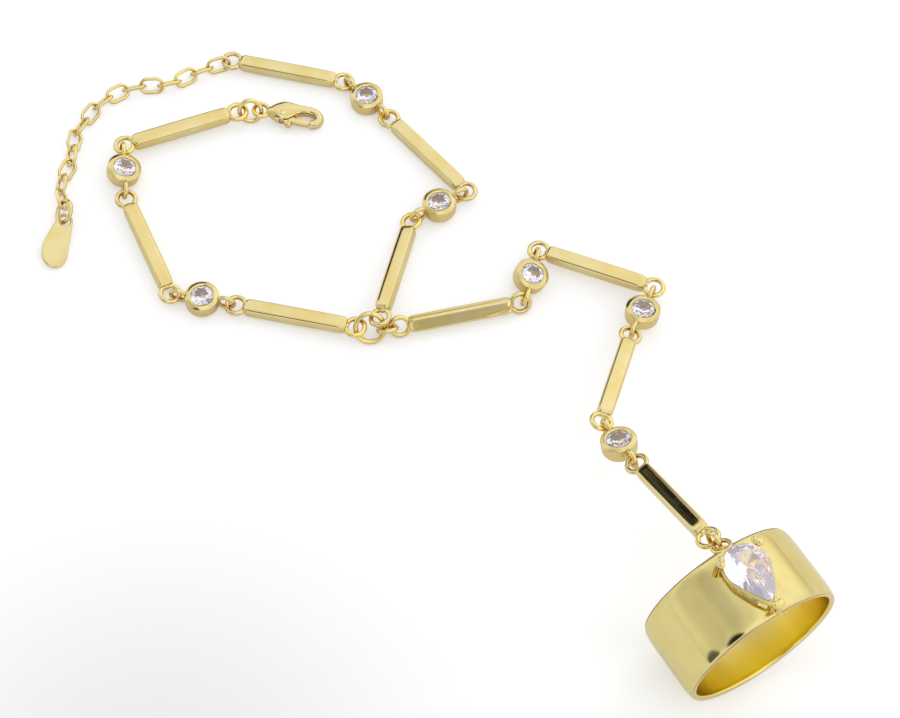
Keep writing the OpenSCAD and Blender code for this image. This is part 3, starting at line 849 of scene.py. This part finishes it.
def between(table, steps):
    """Rows of a table with smooth steps put in between."""
    table = np.array(table, float)
    last = len(table) - 1
    rows = []
    for i in range(last):
        before, here, there, after = (table[min(max(i + k, 0), last)] for k in (-1, 0, 1, 2))
        for t in np.arange(steps) / steps:
            bent = (2 * before - 5 * here + 4 * there - after) * t * t
            bent += (3 * here - before - 3 * there + after) * t**3
            rows.append(0.5 * (2 * here + (there - before) * t + bent))
    return rows + [table[-1]]


def clasp_stance():
    """The clasp's own frame, found from the axis of its lever."""
    joint = frame["joints"][0]
    up = Vector(joint["axis"]).normalized()
    heading = math.degrees(math.atan2(up.y, up.x))
    pitch = -math.degrees(math.asin(math.hypot(up.x, up.y)))
    turn = placed(Vector(), heading, pitch)
    return Matrix.Translation(Vector(joint["pos_m"]) - turn @ (CLASP_PIN * MM)) @ turn


def carve(thing, stand, rows):
    """Cuts a prism, given by its two ends, out of a piece for good."""
    space = Shape(stand)
    space.skin(rows, capped=True)
    cutter = added("space", space.mesh("space", [], None))
    cut = thing.modifiers.new("cut", "BOOLEAN")
    cut.object = cutter
    cut.solver = "EXACT"
    seen = thing.evaluated_get(bpy.context.evaluated_depsgraph_get())
    carved = bpy.data.meshes.new_from_object(seen)
    thing.modifiers.clear()
    thing.data = carved
    bpy.data.objects.remove(cutter)
    carved.set_sharp_from_angle(angle=math.radians(SHARP))


def clasp_body(stand):
    """The case. A disc and a block are cut out of it for the lever."""
    shape = Shape(stand)
    rows = []
    for x, y, heading, wide, thick in between(CLASP_SECTIONS, 5):
        turn, row = math.radians(heading), []
        for c, s in circle(1, 32):
            across = squarer(c, 0.8) * wide * CLASP_LENGTH / 2
            ahead = x * CLASP_LENGTH - math.sin(turn) * across
            left = y * CLASP_LENGTH + math.cos(turn) * across
            rise = squarer(s, 0.8) * thick * CLASP_THICKNESS / 2
            row.append(Vector((ahead, left, rise)) * MM)
        rows.append(row)
    shape.skin(rows, capped=True)
    thing = shape.piece("clasp_case", golds("cast", "wire", "solder"), ["clasp_body"])
    pin = Matrix.Translation(CLASP_PIN * MM)
    disc, ends = circle(SLOT_ROUND * MM, 48), mm(-SLOT, SLOT)
    carve(thing, stand, [[pin @ Vector((x, y, z)) for x, y in disc] for z in ends])
    low = Vector((CLASP_PIN.x - 0.3, -3.7, -SLOT)) * MM
    high = Vector((0.56 * CLASP_LENGTH, 0.3, SLOT)) * MM
    section = [(low.y, low.z), (high.y, low.z), (high.y, high.z), (low.y, high.z)]
    carve(thing, stand, [[(x, y, z) for y, z in section] for x in (low.x, high.x)])


def clasp_trim(stand):
    """The eye and the rivet's two heads and shank."""
    trim = Shape(stand)
    pin = Matrix.Translation(CLASP_PIN * MM)
    trim.ring(Matrix.Translation(mm(-0.8, 0, 0)), 0.95 * MM, 0.54 * MM, kind=WIRE)
    head = [(0.02, 0.965), (0.16, 0.96), (0.27, 0.935), (0.33, 0.9), (0.35, 0.83), (0.35, 0.6)]
    shank = [(0.35, -0.55), (0.35, 0.55)]
    for profile in (head, [(r, -z) for r, z in head], shank):
        trim.lathe([mm(r, z) for r, z in profile], pin, 40, kind=SOLDER, closed=False)
    trim.piece("clasp_eye", golds("cast", "wire", "solder"), ["clasp_body"])


def clasp_lever(stand):
    """A hub on the pin, an arm to the hook and a short arm with a knob."""
    shape = Shape(stand)
    pin, knob, bend, tip = CLASP_PIN, CLASP_KNOB, CLASP_BEND, CLASP_TIP
    hub = [(0.4, -0.38), (0.66, -0.38), (0.74, -0.3), (0.74, 0.3), (0.66, 0.38), (0.4, 0.38)]
    shape.lathe([mm(r, z) for r, z in hub], Matrix.Translation(pin * MM), 64)
    arm = [pin + (bend - pin) * t for t in (0.12, 0.3, 0.5, 0.7, 0.9)]
    arm += [bend + Vector((0.12, 0, 0))]
    arm += [bend + (tip - bend) * t for t in (0.35, 0.6, 0.85, 1)]
    arm += [tip + Vector((x, 0, 0)) for x in (0.2, 0.28, 0.33)]
    widths = [1.44, 1.3, 1.1, 0.92, 0.74, 0.68, 0.7, 0.72, 0.74, 0.74, 0.7, 0.62, 0.5]
    strap(shape, arm, widths)
    start = pin + Vector((0.3, -0.2, 0))
    short = [start + (knob - start) * t for t in (0.1, 0.4, 0.7, 1, 1.15)]
    strap(shape, short, [0.98, 0.92, 0.84, 0.76, 0.6])
    shape.ball(knob * MM, 0.91 * MM)
    shape.piece("clasp_gate", golds("cast"), ["clasp_lever"], body="clasp_lever")


def strap(shape, path, widths):
    """A flat bar with round edges that follows a path in the clasp's plane."""
    rows = []
    for k, here in enumerate(path):
        ahead = ahead_at(path, k)
        turn = Matrix.Rotation(math.atan2(ahead.y, ahead.x), 4, "Z")
        thick = LEVER_THICKNESS * min(1, 0.4 + 0.6 * widths[k] / 0.5)
        section = box_ring(0, widths[k], thick, 0.12, 0)
        rows.append([(Matrix.Translation(here) @ turn @ Vector(p)) * MM for p in section])
    shape.skin(rows, capped=True)


class HANDCHAIN_OT_clasp(bpy.types.Operator):
    """Makes the lobster clasp: its body with the hook, and the lever on its rivet"""

    bl_idname = "handchain.clasp"
    bl_label = "Clasp"

    def execute(self, context):
        stand = clasp_stance()
        clasp_body(stand)
        clasp_trim(stand)
        clasp_lever(stand)
        return {"FINISHED"}


PEAR_TURN = math.radians(65)  # where a pear's round back passes into its long arcs


def pear_outline(length, width, count):
    """Points at even steps along a pear: a round back and two long arcs that meet at the tip."""
    back = width / 2
    tip = length - back
    cos = math.cos(PEAR_TURN)
    side = (tip * tip + back * back - 2 * tip * back * cos) / (2 * back - 2 * tip * cos)
    middle = Vector((cos, math.sin(PEAR_TURN))) * -(side - back)
    first = math.degrees(math.asin(-middle.y / side))
    turn = math.degrees(PEAR_TURN)
    fine = arc(middle, side, first, turn, 60) + arc((0, 0), back, turn, 180, 90)[1:]
    fine = np.array(fine + [(x, -y) for x, y in reversed(fine[:-1])])
    run = np.cumsum([0, *np.linalg.norm(np.diff(fine, axis=0), axis=1)])
    wanted = np.arange(count) * run[-1] / count
    return list(zip(np.interp(wanted, run, fine[:, 0]), np.interp(wanted, run, fine[:, 1])))


RING_HEADING = -58  # of the bore, in degrees
PEAR_AHEAD = 0.25 * MM  # from the band's middle to the pear's
TIP_CUT, TIP_SOFT = mm(1.3, 0.75)  # how the pear's tip is blunted
LOOP_AT, LOOP_LEAN = mm(-5.019, 0, 8.641), -35  # the small loop at the back edge
BAND_EDGE = 0.3 * MM  # radius of the band's edges
BAND_FLAT, BAND_FALL = mm(2.6, 0.2)  # half the band's level part, and its drop at the rims
BASKET_SUNK = 0.5 * MM  # how far the basket's rail lies below the girdle
# A prong's points in mm: out from the stone, up from its girdle, and the width there
PRONG_FOOT = (0.45, 0.86)
PRONG = ((0.45, -0.3, 0.79), (0.45, 0, 0.79), (0.43, 0.3, 0.82))
PRONG += ((0.34, 0.6, 0.86), (0.2, 0.8, 0.7), (0.02, 0.9, 0.4))
BEAD = (0.24, 0.27, 0.62, 0.86)  # its beads: out, to the side and up, and their width


def band(shape, sizes, outer):
    """The band: front edge, inside, back edge and outside."""
    inner, half, edge = sizes.inner / 2, sizes.width / 2, BAND_EDGE
    end = half - edge
    profile = arc((outer - edge, end), edge, 0, 90, 7)
    profile += arc((inner + edge, end), edge, 90, 180, 7)
    profile += [(inner, end * f) for f in (0.9, 0.5, 0, -0.5, -0.9)]
    profile += arc((inner + edge, -end), edge, 180, 270, 7)
    profile += arc((outer - edge, -end), edge, 270, 360, 7)
    places = (-0.9, -0.8, -0.7, -0.6, -0.3, 0, 0.3, 0.6, 0.7, 0.8, 0.9)
    profile += [(outer, end * f) for f in places]
    kinds = [0] * len(profile)
    kinds[3:30] = [SOLDER] * 27
    kinds[11:21] = [INSIDE] * 10
    for k, (r, x) in enumerate(profile):
        if r > outer - edge:
            slope = max(0.0, (abs(x) - BAND_FLAT) / (half - BAND_FLAT))
            profile[k] = (r - BAND_FALL * slope**2, x)
    shape.lathe(profile, turned(90, "Y"), 192, kind=kinds)


def basket(shape, sizes, girdle):
    """The basket's rail, under the stone's girdle."""
    section = [(squarer(c, 0.6), squarer(s, 0.6)) for c, s in circle(1, 12)]
    section = [(0.99 + 0.085 * c, 0.25 * MM * s - BASKET_SUNK) for c, s in section]
    rows = [
        [girdle + Vector((x * away, y * away, rise)) for away, rise in section]
        for x, y in pear_outline(sizes.pear_length, sizes.pear_width, 96)
    ]
    shape.skin(rows, joined=True)


def prongs(shape, sizes, outer, girdle):
    """Three prongs with two beads each. A post inside the rail holds up the front one."""
    back = sizes.pear_width / 2
    base = outer - 0.5 * MM
    for direction, edge in ((0, sizes.pear_length - back), (122, back), (238, back)):
        turn = Matrix.Translation((girdle.x, 0, 0)) @ turned(direction, "Z")
        foot = base if direction else girdle.z - 0.7 * MM
        out, width = PRONG_FOOT
        path = [(edge + out * MM, 0, foot)]
        path += [(edge + out * MM, 0, girdle.z + up * MM) for out, up, _ in PRONG]
        widths = mm(width, *(width for *_, width in PRONG))
        shape.tube([turn @ Vector(p) for p in path], widths, 24, kind=WIRE)
        out, aside, up, width = mm(*BEAD)
        for side in (-1, 1):
            at = turn @ Vector((edge + out, side * aside, girdle.z + up))
            shape.ball(at, width, kind=WIRE)
        if not direction:
            path = [(edge - 0.45 * MM, 0, base), (edge - 0.42 * MM, 0, outer + 0.6 * MM)]
            path += [(edge - 0.3 * MM, 0, girdle.z - 0.6 * MM)]
            widths = mm(0.9, 0.76, 0.8)
            shape.tube([turn @ Vector(p) for p in path], widths, 24, kind=WIRE)


class HANDCHAIN_OT_finger_ring(bpy.types.Operator):
    """Makes the wide band with its basket, three prongs and loop, and the pear-cut stone"""

    bl_idname = "handchain.finger_ring"
    bl_label = "Finger ring"

    def execute(self, context):
        sizes = settings().ring
        stand = placed(Vector(BORE["pos_m"]), RING_HEADING)
        outer, back = sizes.inner / 2 + sizes.wall, sizes.pear_width / 2
        ahead = PEAR_AHEAD + back - sizes.pear_length / 2
        girdle = Vector((ahead, 0, outer + sizes.lift))
        shape = Shape(stand)
        band(shape, sizes, outer)
        basket(shape, sizes, girdle)
        prongs(shape, sizes, outer, girdle)
        loop = Matrix.Translation(LOOP_AT) @ turned(LOOP_LEAN, "Y")
        shape.ring(loop, 1.0 * MM, 0.54 * MM, kind=WIRE)
        root = [mm(-4.25, 0, 9.12), mm(-4.5, 0, 9.02), mm(-4.72, 0, 8.9)]
        shape.tube(root, mm(1.1, 0.95, 0.6), kind=SOLDER)
        finishes = golds("band", "wire", "solder", "inside")
        shape.piece("wide_band", finishes, ["finger_ring"], sharp=50)
        stone = Shape(stand @ Matrix.Translation(girdle))
        blunt = sizes.pear_length - back - TIP_CUT
        outline = [
            (blunt + TIP_SOFT * (1 - math.exp((blunt - x) / TIP_SOFT)) if x > blunt else x, y)
            for x, y in pear_outline(sizes.pear_length, sizes.pear_width, 64)
        ]
        pavilion = sizes.lift - 0.2 * MM
        table = settings().crystal.table
        stone.facets(*brilliant(outline, table, 0.75 * MM, 0.06 * MM, pavilion))
        # the pear stone's painted glow is three times as strong
        finishes = [crystal("pear crystal", 3)]
        stone.piece("pear_stone_cut", finishes, ["pear_stone"], sharp=None)
        return {"FINISHED"}


class HANDCHAIN_PT_panel(bpy.types.Panel):
    bl_idname = "HANDCHAIN_PT_panel"
    bl_label = "Hand chain"
    bl_space_type = "VIEW_3D"
    bl_region_type = "UI"
    bl_category = "Hand chain"

    def draw(self, context):
        for group in HANDCHAIN_PG_all.__annotations__:
            box = self.layout.box()
            box.label(text=group.capitalize())
            values = getattr(settings(), group)
            for name in values.__annotations__:
                box.prop(values, name)
        for name in STEPS:
            self.layout.operator(f"handchain.{name}")


# Each soft lamp's place and width in metres, and its power in watts
SOFTBOXES = (
    ("left softbox", (-0.55, 0.3, 0.5), 0.35, 0.3),
    ("right softbox", (0.5, 0.5, 0.3), 0.4, 0.5),
    ("front softbox", (0.45, -0.35, 0.4), 0.3, 0.2),
)
CAMERA_AIM = Vector((4.6 * MM, 0.1 * MM, 0))

# Dim places of the dome: direction, cosines at which each starts and is full, how dim it is
# (below nothing is brighter), and whether it is mottled
DIM_PLACES = (
    ((-0.27, 0.95, 0.12), 0.93, 0.985, 0.97, 1),
    ((-0.53, 0.79, 0.33), 0.981, 0.991, 0.99, 1),
    ((-0.74, -0.18, 0.64), 0.78, 0.98, 0.3, 0),
    ((-0.4, 0.03, 0.92), 0.9, 0.99, 0.2, 0),
    ((-0.42, -0.55, 0.72), 0.955, 0.985, 0.97, 0),
    ((-0.78, -0.6, 0.17), 0.972, 0.99, 0.85, 0),
    ((0.25, -0.88, 0.33), 0.9, 0.98, 0.45, 1),
    ((0.64, -0.74, 0.22), 0.93, 0.99, -0.35, 0),
    ((0.48, 0.62, 0.62), 0.85, 0.97, -0.12, 0),
    ((0, -0.4, 0.92), 0.93, 0.985, -0.1, 0),
)

# The paper's own light, its share in mirrors, and its grey corner, a painted shade: place, reach and darkness
PAPER_LIGHT, PAPER_MIRRORED = (0.36, 0.36, 0.36), 0.34
GREY_CORNER, GREY_REACH, GREY_SHADE = (-0.028, -0.055, 0), 0.055, 0.69


def paper(values):
    """White paper, which gives off a little light so that it stays white. Seen by the camera it
    gives off less in one corner, a painted shade; seen in mirrors it gives off a little more.
    """
    mesh = bpy.data.meshes.new("paper")
    grid = bmesh.new()
    bmesh.ops.create_grid(grid, x_segments=8, y_segments=8, size=2)
    grid.to_mesh(mesh)
    grid.free()
    finish = Finish(bpy.data.materials.new("white paper"))
    where = finish.add("ShaderNodeTexCoord", output=3)
    fibres = finish.noise(where, 1800, 4, 0.6)
    cloud = finish.noise(where, 6, 2)
    tone = finish.mix(cloud * 0.3, tuple(values.paper), tuple(c * 0.97 for c in values.paper))
    relief = {"Strength": 0.1, "Distance": 0.01 * MM, "Height": fibres}
    seen, mirrored = (finish.add("ShaderNodeLightPath", output=k) for k in (0, 3))
    # painted shade: the camera sees the paper darker in its grey corner
    corner = finish.range(finish.measure("DISTANCE", where, GREY_CORNER), 0, GREY_REACH, 1, 0)
    lit = seen * (1 - GREY_SHADE * corner) + PAPER_MIRRORED * mirrored
    finish.close(
        {
            "Base Color": tone,
            "Roughness": 0.85 + 0.1 * fibres,
            "Normal": finish.add("ShaderNodeBump", {}, relief),
            "Specular IOR Level": 0.1,
            "Emission Color": finish.mix(lit, (0, 0, 0), PAPER_LIGHT),
            "Emission Strength": 1.0,
        }
    )
    mesh.materials.append(finish.owner)
    floor = added("paper", mesh)


def dome(scene, values):
    """Soft white light all round, with dim places in it. The camera sees it white."""
    world = scene.world or bpy.data.worlds.new("studio")
    scene.world = world
    sky = Finish(world)
    way = sky.add("ShaderNodeTexCoord")
    light = sky.range(sky.upward(way), -0.05, 0.25, 0.74, 1.0)
    light = light * sky.range(sky.noise(way, 3.5, 1), 0.35, 0.65, 0.95, 1.04)
    mottle = sky.range(sky.noise(way, 11, 3), 0.36, 0.5, 0.85, 1.0)
    for toward, near, full, dim, mottled in DIM_PLACES:
        facing = sky.measure("DOT_PRODUCT", way, tuple(Vector(toward).normalized()))
        dimmed = sky.range(facing, near, full, 0, dim)
        light = light * (1 - (dimmed * mottle if mottled else dimmed))
    seen = sky.add("ShaderNodeLightPath")
    light = light * (1 - seen) + seen
    inputs = {"Color": (1, 1, 1), "Strength": light * values.dome}
    back = sky.add("ShaderNodeBackground", {}, inputs)
    sky.add("ShaderNodeOutputWorld", {}, {"Surface": back})


class HANDCHAIN_OT_stage(bpy.types.Operator):
    """Makes the paper, the light and the camera"""

    bl_idname = "handchain.stage"
    bl_label = "Stage"

    def execute(self, context):
        values = settings().stage
        scene = context.scene
        scene.view_settings.view_transform = "Standard"
        paper(values)
        dome(scene, values)
        for name, at, wide, power in SOFTBOXES:
            lamp = bpy.data.lights.new(name, "AREA")
            lamp.size = wide
            lamp.energy = power * values.lamps
            thing = added(name, lamp)
            thing.location = at
            thing.visible_glossy = False
            thing.rotation_euler = Vector(at).to_track_quat("Z", "Y").to_euler()
        eye = bpy.data.cameras.new("photograph")
        eye.lens = values.lens
        eye.sensor_width = 36
        eye.clip_end = 10
        camera = added("photograph", eye)
        tall = values.elevation
        away = Vector((0, -math.cos(tall), math.sin(tall)))
        camera.location = CAMERA_AIM + values.distance * away
        camera.rotation_euler = (math.pi / 2 - tall, 0, 0)
        scene.camera = camera
        return {"FINISHED"}


# The operators, in the order in which they run
STEPS = ["bars", "bezels", "stones", "small_rings", "extender", "tag", "clasp", "finger_ring"]
STEPS += ["stage"]
CLASSES = [HANDCHAIN_PG_gold, HANDCHAIN_PG_crystal, HANDCHAIN_PG_bars, HANDCHAIN_PG_bezels]
CLASSES += [HANDCHAIN_PG_ring, HANDCHAIN_PG_stage, HANDCHAIN_PG_all, HANDCHAIN_OT_bars]
CLASSES += [HANDCHAIN_OT_bezels, HANDCHAIN_OT_stones, HANDCHAIN_OT_small_rings]
CLASSES += [HANDCHAIN_OT_extender, HANDCHAIN_OT_tag, HANDCHAIN_OT_clasp]
CLASSES += [HANDCHAIN_OT_finger_ring, HANDCHAIN_OT_stage, HANDCHAIN_PT_panel]


def register():
    for item in CLASSES:
        bpy.utils.register_class(item)
    bpy.types.Scene.hand_chain = PointerProperty(type=HANDCHAIN_PG_all)


def unregister():
    del bpy.types.Scene.hand_chain
    for item in reversed(CLASSES):
        bpy.utils.unregister_class(item)


def main():
    register()
    for name in STEPS:
        getattr(bpy.ops.handchain, name)()


if __name__ == "__main__":
    main()
